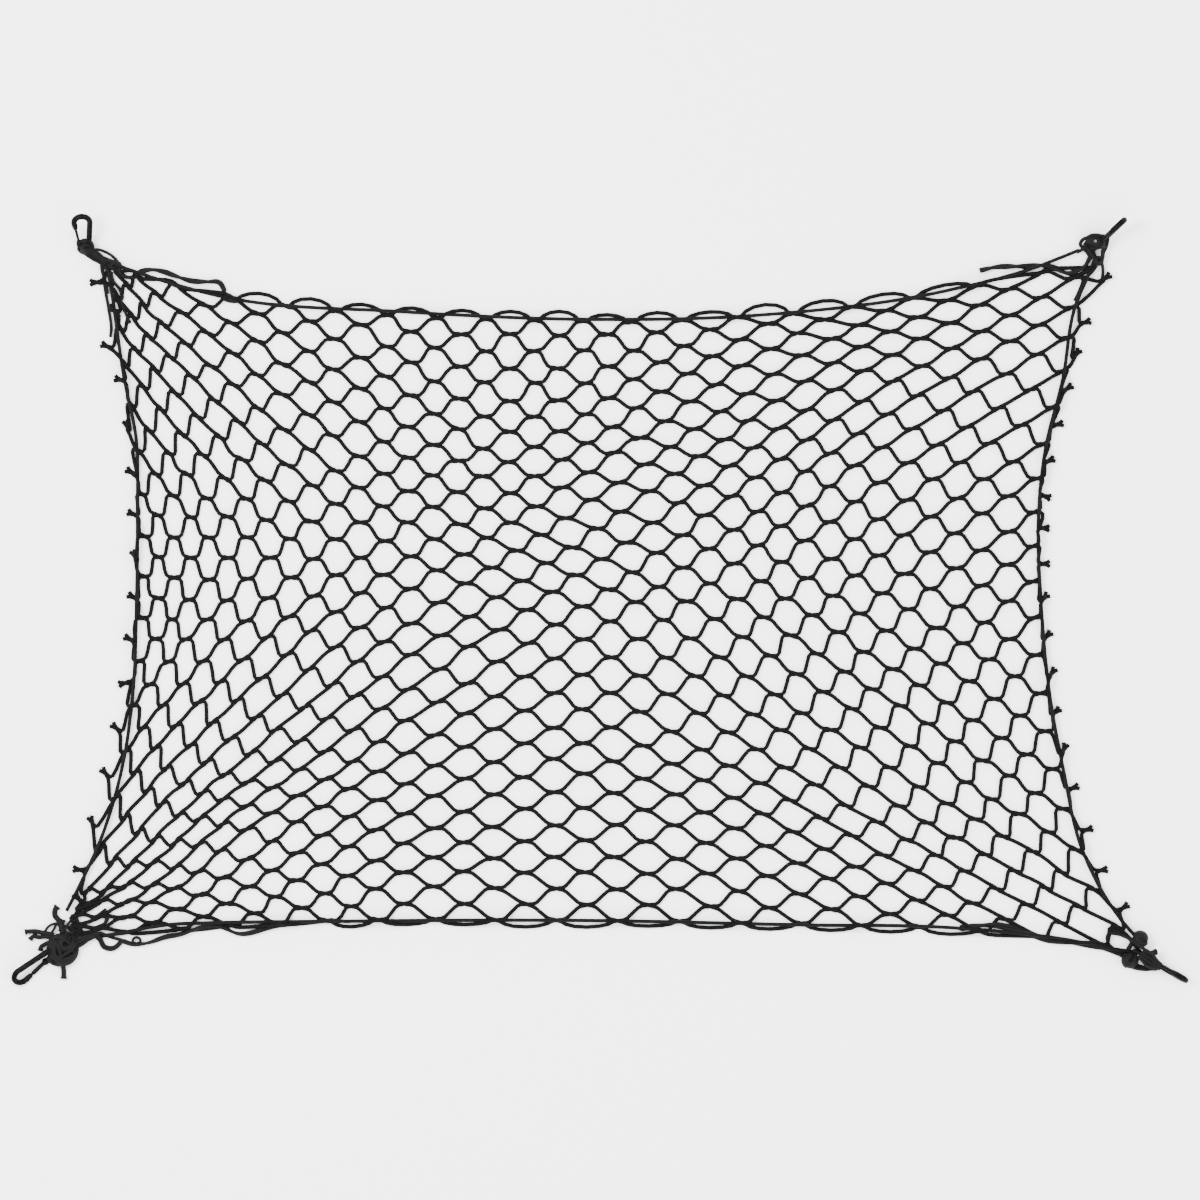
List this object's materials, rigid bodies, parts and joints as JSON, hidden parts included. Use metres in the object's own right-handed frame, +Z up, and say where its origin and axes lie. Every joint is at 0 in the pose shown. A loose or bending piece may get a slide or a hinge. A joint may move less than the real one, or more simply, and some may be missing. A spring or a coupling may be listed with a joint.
{
  "type": "pet barrier net",
  "caption": "Elastic mesh panel with corded edges pulled out to a snap hook at each corner, lying flat, for closing off a space from a pet.",
  "frame": {"origin": "middle of the footprint, on the surface that the net lies on", "axes": "+X along the long side to the right, +Y across the net to its top edge, +Z up"},
  "size_m": [1.3566, 0.8879, 0.0439],
  "materials": {
    "twine": "matte black elastic twine",
    "cord": "matte black braided elastic cord",
    "hook": "black coated steel, satin",
    "gate": "black coated steel, satin"
  },
  "bodies": {
    "root": {"net": "twine", "edge_cord_top": "cord", "edge_cord_bottom": "cord", "edge_cord_left": "cord", "edge_cord_right": "cord", "corner_tie_top_left": "cord", "hook_top_left": "hook", "corner_tie_top_right": "cord", "hook_top_right": "hook", "corner_tie_bottom_left": "cord", "hook_bottom_left": "hook", "corner_tie_bottom_right": "cord", "hook_bottom_right": "hook"},
    "gate_top_left": {"gate_top_left": "gate"},
    "gate_top_right": {"gate_top_right": "gate"},
    "gate_bottom_left": {"gate_bottom_left": "gate"},
    "gate_bottom_right": {"gate_bottom_right": "gate"}
  },
  "joints": [
    {"name": "gate_hinge_top_left", "type": "hinge", "parent": "root", "child": "gate_top_left", "pos_m": [-0.60105, 0.412, 0.01254], "axis": [-0.0485, 0.693, -0.7193], "range_deg": [0, 25], "stiffness_Nm_per_rad": 0.003, "springref_deg": -5.73},
    {"name": "gate_hinge_top_right", "type": "hinge", "parent": "root", "child": "gate_top_right", "pos_m": [0.57696, 0.41216, 0.01759], "axis": [-0.6909, 0.723, 0], "range_deg": [0, 25], "stiffness_Nm_per_rad": 0.003, "springref_deg": -5.73},
    {"name": "gate_hinge_bottom_left", "type": "hinge", "parent": "root", "child": "gate_bottom_left", "pos_m": [-0.64042, -0.41768, 0.00463], "axis": [-0.4147, 0.5251, -0.7431], "range_deg": [0, 25], "stiffness_Nm_per_rad": 0.003, "springref_deg": -5.73},
    {"name": "gate_hinge_bottom_right", "type": "hinge", "parent": "root", "child": "gate_bottom_right", "pos_m": [0.64044, -0.41832, 0.01378], "axis": [0.5, 0.866, 0], "range_deg": [0, 25], "stiffness_Nm_per_rad": 0.003, "springref_deg": -5.73}
  ]
}
